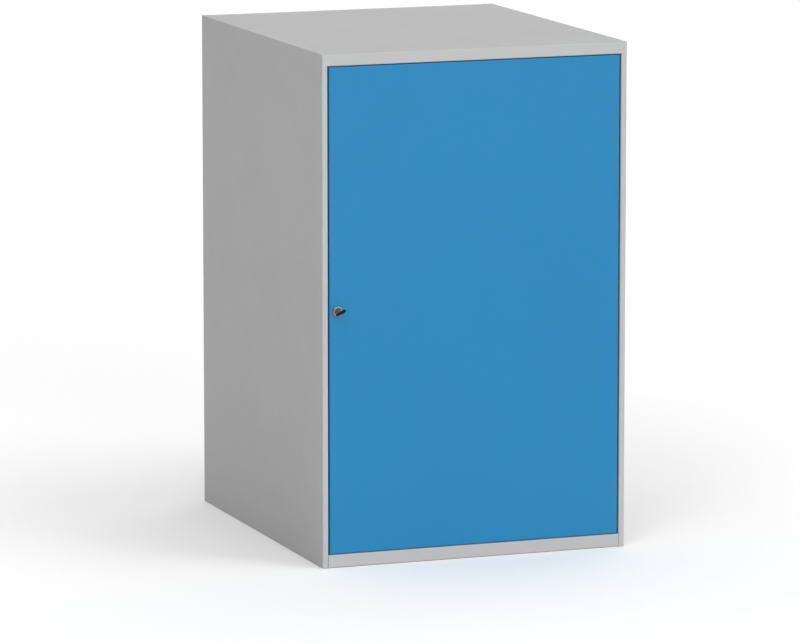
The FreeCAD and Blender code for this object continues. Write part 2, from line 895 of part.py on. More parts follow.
# ---------------------------------------------------------------- lock
# Drawn on its own axis: y = 0 is the front of the door, the key slot level and
# the cam upright; the rotating pieces are then turned to the angle in the photo.
y_face = -P["rosette_t"]
y_end = P["jamb_d"] + 0.2
b = new_body("lock_housing")
add(b, "XZ_Plane", y_face, 0, circles=[(0, 0, P["rosette_r"])])
round_off(b, 1.2, ring_edges(b, P["rosette_r"], "y", y_face))
add(b, "XZ_Plane", -sheet / 2, y_end, circles=[(0, 0, P["barrel_r"])])
cut(b, "XZ_Plane", y_face - 1, y_end + 1, circles=[(0, 0, P["plug_r"] + P["run_fit"])])
bevel(b, 0.5, ring_edges(b, P["barrel_r"], "y", y_end))
bevel(b, 0.4, ring_edges(b, P["plug_r"] + P["run_fit"], "y", y_face))
put(b, lx, yf, lz)

b = new_body("lock_nut")
add(b, "XZ_Plane", sheet, sheet + 4, [hexagon(as_q(0), as_q(0), 19.0)])
cut(b, "XZ_Plane", 0, sheet + 5, circles=[(0, 0, P["barrel_r"] + 0.02)])
bevel(b, 0.5, ring_edges(b, P["barrel_r"] + 0.02, "y", sheet + 4))
put(b, lx, yf, lz)

y_cam = y_end + 0.2
y_tenon = y_cam + P["cam_t"] - 0.2
b = new_body("lock_plug")
add(b, "XZ_Plane", y_face + 0.3, y_end, circles=[(0, 0, P["plug_r"])])
bevel(b, 0.3, ring_edges(b, P["plug_r"], "y", y_face + 0.3))
add(b, "XZ_Plane", y_end - 1, y_tenon, [rect(-3.3, -3.3, 3.3, 3.3)])
cut(b, "XZ_Plane", y_face - 1, 16, [rect(-3.7, -1.2, 3.7, 1.2)])
cut(b, "XZ_Plane", y_tenon - 8, y_tenon + 1, circles=[(0, 0, 1.7)])
put(b, lx, yf, lz, P["key_turn"])

b = new_body("lock_cam")
y_cam2 = y_cam + P["cam_t"]
add(b, "XZ_Plane", y_cam, y_cam2, circles=[(0, 0, 8.0)])
add(b, "XZ_Plane", y_cam, y_cam2, [rect(-P["cam_r"], 0, P["cam_r"], P["cam_len"])])
add(b, "XZ_Plane", y_cam, y_cam2, circles=[(0, P["cam_len"], P["cam_r"])])
cut(b, "XZ_Plane", y_cam - 1, y_cam2 + 1, [rect(-3.35, -3.35, 3.35, 3.35)])
put(b, lx, yf, lz, P["key_turn"])

b = new_body("lock_cam_screw")
add(b, "XZ_Plane", y_cam2, y_cam2 + 2.4, circles=[(0, 0, 4.2)])
round_off(b, 1.2, ring_edges(b, 4.2, "y", y_cam2 + 2.4))
add(b, "XZ_Plane", y_tenon - 6.5, y_cam2 + 0.5, circles=[(0, 0, 1.65)])
cut(b, "XZ_Plane", y_cam2 + 1.2, y_cam2 + 3.4, [rect(-2.6, -0.5, 2.6, 0.5)])
cut(b, "XZ_Plane", y_cam2 + 1.2, y_cam2 + 3.4, [rect(-0.5, -2.6, 0.5, 2.6)])
put(b, lx, yf, lz, P["key_turn"])

# ---------------------------------------------------------------- key
y_bow = y_face - 8.0
y_tang = y_bow - 4.6
b = new_body("key_blade")
blade = [
    (-3.3, y_face - 0.6),
    (-3.3, 14.6),
    (-2.2, 15.6),
    (2.0, 15.6),
    (2.6, 14.4),
    (1.8, 12.6),
    (1.8, 11.4),
    (3.2, 9.6),
    (3.2, 8.6),
    (2.2, 7.2),
    (2.2, 6.2),
    (3.3, 4.6),
    (3.3, y_face - 0.6),
    (4.6, y_face - 0.6),
    (4.6, y_bow),
    (3.0, y_bow),
    (3.0, y_tang),
    (-3.0, y_tang),
    (-3.0, y_bow),
    (-4.6, y_bow),
    (-4.6, y_face - 0.6),
]
add(b, "XY_Plane", -0.8, 0.8, [blade])
cut(b, "XY_Plane", 0.45, 2.0, [rect(-1.6, y_face - 0.5, -0.6, 16.5)])
put(b, lx, yf, lz, P["key_turn"])

b = new_body("key_bow")
bw, bl, bt = P["bow_w"] / 2, P["bow_l"], P["bow_t"] / 2
y_tip = y_bow - bl
add(b, "XY_Plane", -bt, bt, [rect(-bw, y_tip, bw, y_bow)])
round_off(
    b,
    4.5,
    line_edges(b, "z", x=-bw, y=y_tip) + line_edges(b, "z", x=bw, y=y_tip),
)
round_off(
    b,
    3.0,
    line_edges(b, "z", x=-bw, y=y_bow) + line_edges(b, "z", x=bw, y=y_bow),
)
rim = []
for i, edge in enumerate(b.Tip.Shape.Edges, 1):
    zs = [v.Point.z for v in edge.Vertexes]
    if max(zs) - min(zs) < 1e-6 and abs(abs(zs[0]) - bt.v) < 1e-6:
        rim.append("Edge%d" % i)
round_off(b, 0.9, rim)
cut(b, "XZ_Plane", y_tang, y_bow + 1, [rect(-3.0, -0.8, 3.0, 0.8)])
cut(b, "XY_Plane", -bt - 1, bt + 1, circles=[(0, y_tip + 3.2, 1.6)])
put(b, lx, yf, lz, P["key_turn"])

# ---------------------------------------------------------------- checks and export
doc.recompute()
faults = []
for obj in doc.Objects:
    if any(word in ("Invalid", "Error") for word in obj.State):
        faults.append("%s of %s: %s" % (obj.Name, obj.Label, obj.State))
for body in BODIES:
    if body.Shape.isNull() or not body.Shape.isValid() or not body.Shape.Solids:
        faults.append("shape of " + body.Label)
if faults:
    raise RuntimeError("; ".join(faults))
for body in BODIES:
    box = body.Shape.BoundBox
    print(
        "%-26s solids %2d  x %8.2f %8.2f  y %8.2f %8.2f  z %8.2f %8.2f  vol %.1f"
        % (
            body.Label,
            len(body.Shape.Solids),
            box.XMin,
            box.XMax,
            box.YMin,
            box.YMax,
            box.ZMin,
            box.ZMax,
            body.Shape.Volume,
        )
    )
    body.Shape.exportStep("parts/%s.step" % body.Label)
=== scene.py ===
import math

import bmesh
import bpy
from mathutils import Matrix, Vector


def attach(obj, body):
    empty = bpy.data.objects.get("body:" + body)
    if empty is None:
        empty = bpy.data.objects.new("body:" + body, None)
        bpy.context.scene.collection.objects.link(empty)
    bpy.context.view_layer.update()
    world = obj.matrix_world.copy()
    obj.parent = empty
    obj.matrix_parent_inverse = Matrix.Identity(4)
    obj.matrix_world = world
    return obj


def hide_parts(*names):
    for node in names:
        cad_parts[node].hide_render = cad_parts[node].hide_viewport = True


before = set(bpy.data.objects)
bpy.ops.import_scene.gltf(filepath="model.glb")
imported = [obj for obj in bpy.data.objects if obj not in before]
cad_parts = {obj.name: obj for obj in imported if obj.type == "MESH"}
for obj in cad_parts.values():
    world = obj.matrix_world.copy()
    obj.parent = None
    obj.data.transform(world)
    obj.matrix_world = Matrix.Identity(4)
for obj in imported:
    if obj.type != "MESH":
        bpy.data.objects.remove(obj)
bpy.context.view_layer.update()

# Free-standing steel cabinet with one flush door. Metres, +Z up, +X to the right
# seen from the front, the front faces -Y. The helpers below work in millimetres
# and a piece is brought to metres when it is made.

W, D, H = 510.0, 590.0, 810.0
YF, YB = -D / 2, D / 2
HW = W / 2
SHEET, BEND, BEND_IN = 1.0, 2.0, 1.0
XJ = HW - 9.6                     # inner face of the jambs
YL = YF + 22.0                    # back of the jambs
ZR = H - 18.85                    # underside of the top's front lip
ZF = 20.95                        # cabinet floor
DL, DR, DB, DT = -XJ + 2.0, XJ - 2.4, ZF + 0.9, ZR - 1.1
YD = YF + 20.0                    # back of the door
AX, AY = DR - 11.0, YF + 7.0      # door pivot
LX, LZ = DL + 13.9, 407.0         # lock axis
TURN = math.radians(25.0)         # angle of the key
ARC = 8                           # facets in a quarter turn of a bend


# ------------------------------------------------------------------ outlines
def rounded(points, facets=ARC):
    """Closed outline from (a, b) or (a, b, radius) corners."""
    flat = [(Vector(p[:2]), p[2] if len(p) > 2 else 0.0) for p in points]
    out = []
    n = len(flat)
    for i in range(n):
        p, r = flat[i]
        if r <= 0:
            out.append(p.copy())
            continue
        a = (flat[i - 1][0] - p).normalized()
        b = (flat[(i + 1) % n][0] - p).normalized()
        half = a.angle(b) / 2
        run = r / math.tan(half)
        c = p + (a + b).normalized() * (r / math.sin(half))
        s, e = p + a * run - c, p + b * run - c
        sweep = math.atan2(s.x * e.y - s.y * e.x, s.dot(e))
        steps = max(2, round(facets * abs(sweep) / (math.pi / 2)))
        for k in range(steps + 1):
            t = sweep * k / steps
            out.append(c + Vector((s.x * math.cos(t) - s.y * math.sin(t), s.x * math.sin(t) + s.y * math.cos(t))))
    return out


def circle(x, y, r, n=48):
    return [Vector((x + r * math.cos(2 * math.pi * k / n), y + r * math.sin(2 * math.pi * k / n))) for k in range(n)]


def box_outline(a0, b0, a1, b1, r=0.0):
    return [(a0, b0, r), (a1, b0, r), (a1, b1, r), (a0, b1, r)]


PLACE = {
    "x": lambda p, h: (h, p[0], p[1]),
    "y": lambda p, h: (p[0], h, p[1]),
    "z": lambda p, h: (p[0], p[1], h),
}


# ------------------------------------------------------------------ solids
def prism(loop, axis, lo, hi, edge=0.0, edge_facets=2):
    """A straight run of an outline along an axis; its two end edges are broken by edge."""
    bm = bmesh.new()
    at = PLACE[axis]
    a = [bm.verts.new(at(p, lo)) for p in loop]
    b = [bm.verts.new(at(p, hi)) for p in loop]
    n = len(loop)
    caps = [bm.faces.new(a), bm.faces.new(b)]
    for i in range(n):
        bm.faces.new((a[i], a[(i + 1) % n], b[(i + 1) % n], b[i]))
    bmesh.ops.recalc_face_normals(bm, faces=bm.faces)
    if edge > 0:
        rims = list({e for f in caps for e in f.edges})
        bmesh.ops.bevel(bm, geom=rims, offset=edge, segments=edge_facets, profile=0.5, affect="EDGES", clamp_overlap=True)
    return bm


def ring_sweep(profile, place, x0, y0, x1, y1):
    """A profile of (inset, height) points carried round a rectangle with mitred corners; both ends are closed by a face."""
    bm = bmesh.new()
    rings = []
    for d, h in profile:
        corners = ((x0 + d, y0 + d), (x1 - d, y0 + d), (x1 - d, y1 - d), (x0 + d, y1 - d))
        rings.append([bm.verts.new(place(c, h)) for c in corners])
    for r, q in zip(rings, rings[1:]):
        for i in range(4):
            bm.faces.new((r[i], r[(i + 1) % 4], q[(i + 1) % 4], q[i]))
    bm.faces.new(rings[0])
    bm.faces.new(rings[-1])
    bmesh.ops.recalc_face_normals(bm, faces=bm.faces)
    return bm


def lathe(profile, axis, centre, n=48, closed=False):
    """A turned piece: profile of (radius, height) points about an axis through centre, given in the axis' own plane order."""
    bm = bmesh.new()
    at = PLACE[axis]
    rings = []
    for r, h in profile:
        if r < 1e-6:
            rings.append([bm.verts.new(at((centre[0], centre[1]), h))])
        else:
            rings.append(
                [
                    bm.verts.new(at((centre[0] + r * math.cos(2 * math.pi * k / n), centre[1] + r * math.sin(2 * math.pi * k / n)), h))
                    for k in range(n)
                ]
            )
    pairs = list(zip(rings, rings[1:]))
    if closed:
        pairs.append((rings[-1], rings[0]))
    for r, q in pairs:
        for k in range(n):
            j = (k + 1) % n
            if len(r) == 1 and len(q) == 1:
                break
            if len(r) == 1:
                bm.faces.new((r[0], q[j], q[k]))
            elif len(q) == 1:
                bm.faces.new((r[k], r[j], q[0]))
            else:
                bm.faces.new((r[k], r[j], q[j], q[k]))
    bmesh.ops.recalc_face_normals(bm, faces=bm.faces)
    return bm


def turned(points, facets=5):
    """Open profile with rounded corners, for lathe()."""
    flat = [(Vector(p[:2]), p[2] if len(p) > 2 else 0.0) for p in points]
    out = []
    for i, (p, r) in enumerate(flat):
        if r <= 0 or i in (0, len(flat) - 1):
            out.append(p.copy())
            continue
        a = (flat[i - 1][0] - p).normalized()
        b = (flat[i + 1][0] - p).normalized()
        half = a.angle(b) / 2
        run = r / math.tan(half)
        c = p + (a + b).normalized() * (r / math.sin(half))
        s, e = p + a * run - c, p + b * run - c
        sweep = math.atan2(s.x * e.y - s.y * e.x, s.dot(e))
        steps = max(2, round(facets * abs(sweep) / (math.pi / 2)))
        for k in range(steps + 1):
            t = sweep * k / steps
            out.append(c + Vector((s.x * math.cos(t) - s.y * math.sin(t), s.x * math.sin(t) + s.y * math.cos(t))))
    return out


def join(parts):
    """Several closed shells as one mesh."""
    bm = bmesh.new()
    for p in parts:
        m = bpy.data.meshes.new("shell")
        p.to_mesh(m)
        p.free()
        bm.from_mesh(m)
        bpy.data.meshes.remove(m)
    return bm


def loose(bm, name):
    m = bpy.data.meshes.new(name)
    bm.to_mesh(m)
    bm.free()
    o = bpy.data.objects.new(name, m)
    bpy.context.scene.collection.objects.link(o)
    return o


def combine(base, tools, operation):
    """Adds to or takes from a solid the solids in tools, which are used up."""
    a = loose(base, "work")
    others = [loose(t, "tool") for t in tools]
    for o in others:
        mod = a.modifiers.new("fit", "BOOLEAN")
        mod.operation = operation
        mod.solver = "EXACT"
        mod.object = o
    dg = bpy.context.evaluated_depsgraph_get()
    dg.update()
    mesh = bpy.data.meshes.new_from_object(a.evaluated_get(dg))
    bm = bmesh.new()
    bm.from_mesh(mesh)
    bpy.data.meshes.remove(mesh)
    for o in [a] + others:
        m = o.data
        bpy.data.objects.remove(o)
        bpy.data.meshes.remove(m)
    bmesh.ops.remove_doubles(bm, verts=bm.verts, dist=1e-4)
    bmesh.ops.dissolve_degenerate(bm, edges=bm.edges, dist=1e-5)
    return bm


def cut(base, *tools):
    return combine(base, tools, "DIFFERENCE")


def fuse(base, *tools):
    return combine(base, tools, "UNION")


def about_lock(bm, turn=0.0):
    """From the lock's own axis to its place in the door."""
    m = Matrix.Translation((LX, YF, LZ)) @ Matrix.Rotation(turn, 4, (0, -1, 0))
    bmesh.ops.transform(bm, matrix=m, verts=bm.verts)
    return bm


def piece(name, bm, body, nodes, material, crease=32.0):
    """A finished piece: in metres, smooth with crisp edges, riding on its body in place of its nodes."""
    bmesh.ops.scale(bm, vec=(0.001, 0.001, 0.001), verts=bm.verts)
    mesh = bpy.data.meshes.new(name)
    bm.to_mesh(mesh)
    bm.free()
    mesh.shade_smooth()
    mesh.set_sharp_from_angle(angle=math.radians(crease))
    o = bpy.data.objects.new(name, mesh)
    bpy.context.scene.collection.objects.link(o)
    mesh.materials.append(material)
    mod = o.modifiers.new("even_normals", "WEIGHTED_NORMAL")
    mod.mode = "FACE_AREA"
    mod.weight = 100
    mod.keep_sharp = True
    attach(o, body)
    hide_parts(*nodes)
    return o


# ------------------------------------------------------------------ materials
class Nodes:
    """Small helper for node graphs."""

    def __init__(self, name):
        self.mat = bpy.data.materials.new(name)
        self.mat.use_nodes = True
        self.tree = self.mat.node_tree
        self.tree.nodes.clear()
        self.out = self.add("ShaderNodeOutputMaterial")
        self.bsdf = self.add("ShaderNodeBsdfPrincipled")
        self.link(self.bsdf.outputs["BSDF"], self.out.inputs["Surface"])
        self.place = self.add("ShaderNodeTexCoord").outputs["Object"]

    def add(self, kind, **values):
        n = self.tree.nodes.new(kind)
        for k, v in values.items():
            setattr(n, k, v)
        return n

    def link(self, a, b):
        self.tree.links.new(a, b)

    def set(self, **values):
        for k, v in values.items():
            self.bsdf.inputs[k.replace("_", " ")].default_value = v

    def noise(self, scale, detail=2.0, rough=0.5, stretch=None):
        n = self.add("ShaderNodeTexNoise")
        n.inputs["Scale"].default_value = scale
        n.inputs["Detail"].default_value = detail
        n.inputs["Roughness"].default_value = rough
        src = self.place
        if stretch:
            m = self.add("ShaderNodeMapping")
            m.inputs["Scale"].default_value = stretch
            self.link(src, m.inputs["Vector"])
            src = m.outputs["Vector"]
        self.link(src, n.inputs["Vector"])
        return n.outputs["Fac"]

    def ramp(self, fac, stops):
        r = self.add("ShaderNodeValToRGB")
        el = r.color_ramp.elements
        while len(el) < len(stops):
            el.new(0.5)
        for e, (pos, col) in zip(el, stops):
            e.position = pos
            e.color = (*col, 1.0)
        self.link(fac, r.inputs["Fac"])
        return r.outputs["Color"]

    def spread(self, fac, lo, hi, a=0.3, b=0.7):
        m = self.add("ShaderNodeMapRange")
        m.inputs["From Min"].default_value = a
        m.inputs["From Max"].default_value = b
        m.inputs["To Min"].default_value = lo
        m.inputs["To Max"].default_value = hi
        self.link(fac, m.inputs["Value"])
        return m.outputs["Result"]

    def bump(self, height, strength, distance, under=None):
        b = self.add("ShaderNodeBump")
        b.inputs["Strength"].default_value = strength
        b.inputs["Distance"].default_value = distance
        self.link(height, b.inputs["Height"])
        if under:
            self.link(under, b.inputs["Normal"])
        return b.outputs["Normal"]


def shade(c, k):
    return tuple(min(1.0, v * k) for v in c)


def powder_coat(name, colour, rough, shine=0.5, drift=0.02, grain=0.22):
    """Baked powder paint: fine peel of about a millimetre, slow drift of tone and gloss."""
    n = Nodes(name)
    slow = n.noise(5.0, 3.0, 0.55)
    n.link(
        n.ramp(slow, [(0.30, shade(colour, 1 - drift)), (0.52, colour), (0.74, shade(colour, 1 + drift))]),
        n.bsdf.inputs["Base Color"],
    )
    gloss = n.noise(38.0, 3.0, 0.6)
    n.link(n.spread(gloss, rough - 0.035, rough + 0.035), n.bsdf.inputs["Roughness"])
    peel = n.noise(760.0, 1.5, 0.45)
    wave = n.noise(95.0, 1.0, 0.5)
    n.link(n.bump(peel, grain, 0.00010, n.bump(wave, grain * 0.5, 0.00025)), n.bsdf.inputs["Normal"])
    n.set(IOR=1.46)
    n.bsdf.inputs["Specular IOR Level"].default_value = shine
    return n.mat


GREY = (0.416, 0.418, 0.418)
BLUE = (0.0035, 0.181, 0.385)
mat_grey = powder_coat("paint_grey", GREY, 0.52, 0.3)
mat_blue = powder_coat("paint_blue", BLUE, 0.44, 0.36)


def plated(name, colour, rough, tint, scratch, swirl=0.06):
    """Plated metal: faint patches of the passivation, hairline polish marks, dulled spots."""
    n = Nodes(name)
    patch = n.noise(120.0, 4.0, 0.6)
    n.link(n.ramp(patch, [(0.30, shade(colour, 0.90)), (0.50, colour), (0.72, tint)]), n.bsdf.inputs["Base Color"])
    spots = n.noise(420.0, 3.0, 0.6)
    n.link(n.spread(spots, max(0.03, rough - swirl), rough + swirl), n.bsdf.inputs["Roughness"])
    hair = n.noise(1500.0, 2.0, 0.5, (1.0, 14.0, 1.0))
    n.link(n.bump(hair, scratch, 0.00004), n.bsdf.inputs["Normal"])
    n.set(Metallic=1.0)
    return n.mat


mat_zinc = plated("zinc_plate", (0.60, 0.61, 0.62), 0.34, (0.66, 0.65, 0.60), 0.16)
mat_nickel = plated("nickel_plate", (0.33, 0.26, 0.215), 0.31, (0.37, 0.30, 0.25), 0.08)
# The plug is coloured much darker than the ring: partly a dark plug, partly painted shade of the key and the keyhole on
# the lock's face.
mat_dark_plug_and_painted_shade = plated("dark_plug_and_painted_shade", (0.12, 0.094, 0.076), 0.36, (0.15, 0.12, 0.10), 0.10)
mat_key = plated("key_nickel", (0.64, 0.60, 0.53), 0.27, (0.67, 0.63, 0.55), 0.16)


def moulded(name, colour, rough, grain, scale, drift=0.12, gloss=0.5):
    """Moulded plastic or rubber with the fine grain of the mould."""
    n = Nodes(name)
    flow = n.noise(160.0, 3.0, 0.6)
    n.link(n.ramp(flow, [(0.30, shade(colour, 1 - drift)), (0.72, shade(colour, 1 + drift))]), n.bsdf.inputs["Base Color"])
    n.link(n.spread(flow, rough - 0.05, rough + 0.05), n.bsdf.inputs["Roughness"])
    g = n.noise(scale, 2.0, 0.55)
    n.link(n.bump(g, grain, 0.00008), n.bsdf.inputs["Normal"])
    n.bsdf.inputs["Specular IOR Level"].default_value = gloss
    return n.mat


mat_black = moulded("key_black", (0.005, 0.005, 0.0055), 0.52, 0.20, 2600.0, gloss=0.12)
mat_rubber = moulded("buffer_rubber", (0.022, 0.022, 0.022), 0.72, 0.30, 1800.0)
mat_bush = moulded("bush_nylon", (0.020, 0.020, 0.021), 0.50, 0.10, 1500.0)

# ------------------------------------------------------------------ side panels
for side, s in (("left", -1), ("right", 1)):
    loop = rounded(
        [
            (s * HW, YF, BEND),
            (s * XJ, YF, BEND),
            (s * XJ, YL, BEND),
            (s * (XJ + 8), YL, 0.3),
            (s * (XJ + 8), YL - 1, 0.3),
            (s * (XJ + 1), YL - 1, BEND_IN),
            (s * (XJ + 1), YF + 1, BEND_IN),
            (s * (HW - 1), YF + 1, BEND_IN),
            (s * (HW - 1), YB - 1, BEND_IN),
            (s * (HW - 18), YB - 1, 0.3),
            (s * (HW - 18), YB, 0.3),
            (s * HW, YB, BEND),
        ]
    )
    bm = prism(loop, "z", 0, H, 0.12)
    lo, hi = sorted((s * (XJ - 1), s * (HW - 1)))
    bm = cut(bm, prism(rounded(box_outline(lo, YF + 1, hi, YL + 1)), "z", H - 1, H + 1))
    piece("vis_%s_side_panel" % side, bm, "cabinet", ["%s_side_panel" % side], mat_grey)

# ------------------------------------------------------------------ top
rivet_xs = (-200.0, -100.0, 0.0, 100.0, 200.0)
screw_spots = ((AX - 22, AY + 2), (AX - 11, AY + 2))
XT = XJ - 0.3
front = rounded(
    [
        (YF, H, BEND),
        (YF, ZR, BEND),
        (YL, ZR, BEND_IN),
        (YL, ZR - 10, 0.2),
        (YL + 1, ZR - 10, 0.2),
        (YL + 1, ZR + 1, BEND),
        (YF + 1, ZR + 1, BEND_IN),
        (YF + 1, H - 1, BEND_IN),
        (YB - 3, H - 1, BEND_IN),
        (YB - 3, H - 19, 0.2),
        (YB - 2, H - 19, 0.2),
        (YB - 2, H, BEND),
    ]
)
flank = rounded(
    [
        (YF + 1, H),
        (YF + 1, H - 1),
        (YB - 3, H - 1, BEND_IN),
        (YB - 3, H - 19, 0.2),
        (YB - 2, H - 19, 0.2),
        (YB - 2, H, BEND),
    ]
)
# The lip ends are welded to the jambs and ground flush.
bm = prism(front, "x", -XJ - BEND, XJ + BEND)
ends = []
for s in (-1, 1):
    jamb = [(s * XJ, YF, BEND), (s * XJ, YF + 4), (s * XT, YF + 4), (s * XT, YB), (s * (HW + 5), YB), (s * (HW + 5), YF)]
    ends.append(prism(rounded(jamb), "z", ZR - 15, H + 5))
bm = cut(bm, *ends)
extra = []
for s in (-1, 1):
    lo, hi = sorted((s * (XT - 6), s * (HW - 1)))
    extra.append(prism(flank, "x", lo, hi))
    lo, hi = sorted((s * (HW - 2), s * (HW - 1.01)))
    extra.append(prism(rounded(box_outline(YL + 3, H - 19, YB - 7, H - 0.5, 0.2)), "x", lo, hi))
bm = fuse(bm, *extra)
holes = [prism(rounded(box_outline(195.0, YL - 1, XT + 1, YL + 5)), "z", ZR - 11, ZR + 2)]
holes.append(prism(circle(AX, AY, 3.1, 32), "z", ZR - 1, ZR + 2))
holes += [prism(circle(x, y, 2.6, 32), "z", ZR - 1, ZR + 2) for x, y in screw_spots]
holes += [prism(circle(x, H - 10, 1.65, 24), "y", YB - 4, YB - 1) for x in rivet_xs]
bm = cut(bm, join(holes))
piece("vis_top_panel", bm, "cabinet", ["top_panel"], mat_grey)

# ------------------------------------------------------------------ bottom
XB = XJ - 0.4
front = rounded(
    [
        (YF, ZF, BEND),
        (YB - 3, ZF, BEND_IN),
        (YB - 3, ZF + 18, 0.2),
        (YB - 2, ZF + 18, 0.2),
        (YB - 2, ZF - 1, BEND),
        (YF + 1, ZF - 1, BEND_IN),
        (YF + 1, 1, BEND_IN),
        (YL, 1, 0.2),
        (YL, 0, 0.2),
        (YF, 0, BEND),
    ]
)
flank = rounded(
    [
        (YL + 0.3, ZF),
        (YB - 3, ZF, BEND_IN),
        (YB - 3, ZF + 18, 0.2),
        (YB - 2, ZF + 18, 0.2),
        (YB - 2, ZF - 1, BEND),
        (YL + 0.3, ZF - 1),
    ]
)
# The rail ends are welded against the bends of the jambs; a shallow seam stays.
bm = prism(front, "x", -XJ - 0.05, XB)
ends = []
for s in (-1, 1):
    jamb = [(s * (XJ - 0.1), YF - 0.1, BEND + 0.1), (s * (XJ - 0.1), YF + 4), (s * XB, YF + 4), (s * XB, YB), (s * (HW + 5), YB), (s * (HW + 5), YF - 0.1)]
    ends.append(prism(rounded(jamb), "z", -5, ZF + 25))
bm = cut(bm, *ends)
extra = []
for s in (-1, 1):
    lo, hi = sorted((s * (XB - 6), s * (HW - 1)))
    extra.append(prism(flank, "x", lo, hi))
    lo, hi = sorted((s * (HW - 2), s * (HW - 1.01)))
    extra.append(prism(rounded(box_outline(YL + 2, 0, YB - 7, ZF - 0.5, 0.2)), "x", lo, hi))
bm = fuse(bm, *extra)
holes = [prism(circle(AX, AY, 3.1, 32), "z", ZF - 2, ZF + 1)]
holes += [prism(circle(x, y, 2.6, 32), "z", ZF - 2, ZF + 1) for x, y in screw_spots]
holes += [prism(circle(x, ZF + 10, 1.65, 24), "y", YB - 4, YB - 1) for x in rivet_xs]
bm = cut(bm, join(holes))
piece("vis_bottom_panel", bm, "cabinet", ["bottom_panel"], mat_grey)

zs = ZF - 1
loop = rounded(
    [
        (-20, 0, BEND),
        (20, 0, BEND),
        (20, zs - 1, BEND_IN),
        (35, zs - 1, 0.2),
        (35, zs, 0.2),
        (19, zs, BEND),
        (19, 1, BEND_IN),
        (-19, 1, BEND_IN),
        (-19, zs, BEND),
        (-35, zs, 0.2),
        (-35, zs - 1, 0.2),
        (-20, zs - 1, BEND_IN),
    ]
)
piece("vis_floor_stiffener", prism(loop, "x", 3 - HW, HW - 3, 0.2), "cabinet", ["floor_stiffener"], mat_grey)

# ------------------------------------------------------------------ back
xk = HW - 2.5
rivet_at = [(x, z) for z in (H - 10, ZF + 10) for x in rivet_xs]
bm = prism(rounded(box_outline(-xk, 1, xk, H - 0.5, 0.8)), "y", YB - 2, YB - 1, 0.2)
bm = cut(bm, join([prism(circle(x, z, 1.65, 24), "y", YB - 3, YB) for x, z in rivet_at]))
piece("vis_back_panel", bm, "cabinet", ["back_panel"], mat_grey)

rivet = turned(
    [
        (0, YB - 0.42),
        (0.75, YB - 0.42, 0.15),
        (0.95, YB - 0.02, 0.15),
        (2.3, YB - 0.02, 0.8),
        (3.5, YB - 0.55, 0.25),
        (3.5, YB - 1, 0.05),
        (1.6, YB - 1),
        (1.6, YB - 3),
        (2.4, YB - 3, 0.3),
        (2.4, YB - 4.5, 0.7),
        (0, YB - 4.5),
    ]
)
piece("vis_back_panel_rivets", join([lathe(rivet, "y", p, 32) for p in rivet_at]), "cabinet", ["back_panel_rivets"], mat_zinc)

# ------------------------------------------------------------------ shelf rails
for side, s in (("left", -1), ("right", 1)):
    for end, yc in (("front", -200.0), ("rear", 230.0)):
        wall, face, back = s * (HW - 1), s * (HW - 13), s * (HW - 11.8)
        loop = rounded(
            [
                (wall, yc - 15, 0.3),
                (face, yc - 15, BEND),
                (face, yc + 15, BEND),
                (wall, yc + 15, 0.3),
                (wall, yc + 13.8, 0.3),
                (back, yc + 13.8, 0.8),
                (back, yc - 13.8, 0.8),
                (wall, yc - 13.8, 0.3),
            ]
        )
        bm = prism(loop, "z", ZF + 0.5, H - 23, 0.12)
        lo, hi = sorted((face - s, back + s))
        slots = [
            prism(rounded(box_outline(yc - 6, z - 2, yc + 6, z + 2, 0.6), 3), "x", lo, hi)
            for z in (60.0 + 32.0 * k for k in range(22))
        ]
        bm = cut(bm, join(slots))
        node = "shelf_rail_%s_%s" % (side, end)
        piece("vis_" + node, bm, "cabinet", [node], mat_grey)

# ------------------------------------------------------------------ shelves and clips
XF = HW - 13.0
XS = XF - 1.5
for name, k in (("upper", 14), ("lower", 6)):
    zc = 60.0 + 32.0 * k
    z0, z1 = zc + 1, zc + 26
    outer = turned([(8.0, z1), (0.0, z1, BEND), (0.0, z0, 0.2), (1.0, z0, 0.2), (1.0, z1 - 1, BEND_IN), (8.0, z1 - 1)], ARC)
    bm = ring_sweep(outer, PLACE["z"], -XS, -245.0, XS, 285.0)
    lips = [
        prism(rounded(box_outline(-XS + 0.5, a, XS - 0.5, b, 0.2)), "z", z0 + 0.01, z0 + 1)
        for a, b in ((-244.6, -235.0), (275.0, 284.6))
    ]
    bm = fuse(bm, *lips)
    piece("vis_%s_shelf" % name, bm, "cabinet", ["%s_shelf" % name], mat_grey)

    clips = []
    for yc in (-200.0, 230.0):
        for s in (-1, 1):
            hook_a, hook_b = s * (XF + 1.4), s * (XF + 3.2)
            leg_a, leg_b = s * (XF - 0.2), s * (XF - 2.2)
            loop = rounded(
                [
                    (hook_b, zc - 1, 0.5),
                    (leg_a, zc - 1, 0.2),
                    (leg_a, zc - 13, 0.5),
                    (leg_b, zc - 13, 0.5),
                    (leg_b, zc - 1, 0.2),
                    (s * (XF - 15), zc - 1, 0.4),
                    (s * (XF - 15), zc + 1, 0.4),
                    (hook_a, zc + 1, 0.2),
                    (hook_a, zc + 9, 0.5),
                    (hook_b, zc + 9, 0.5),
                ],
                4,
            )
            clips.append(prism(loop, "y", yc - 5, yc + 5, 0.25))
    piece("vis_%s_shelf_clips" % name, join(clips), "cabinet", ["%s_shelf_clips" % name], mat_zinc)

# ------------------------------------------------------------------ hinge hardware
for name, lo, hi in (("upper", ZR + 1, ZR + 4), ("lower", ZF - 4, ZF - 1)):
    loop = rounded([(AX - 29, YF + 2.1, 0.4), (AX + 8, YF + 2.1, 0.4), (AX + 8, YF + 20, 3.0), (AX - 29, YF + 20, 3.0)])
    bm = prism(loop, "z", lo, hi, 0.3)
    holes = [prism(circle(AX, AY, 3.01, 40), "z", lo - 1, hi + 1)]
    holes += [prism(circle(x, y, 2.52, 32), "z", lo - 1, hi + 1) for x, y in screw_spots]
    bm = cut(bm, join(holes))
    piece("vis_%s_hinge_plate" % name, bm, "cabinet", ["%s_hinge_plate" % name], mat_zinc)

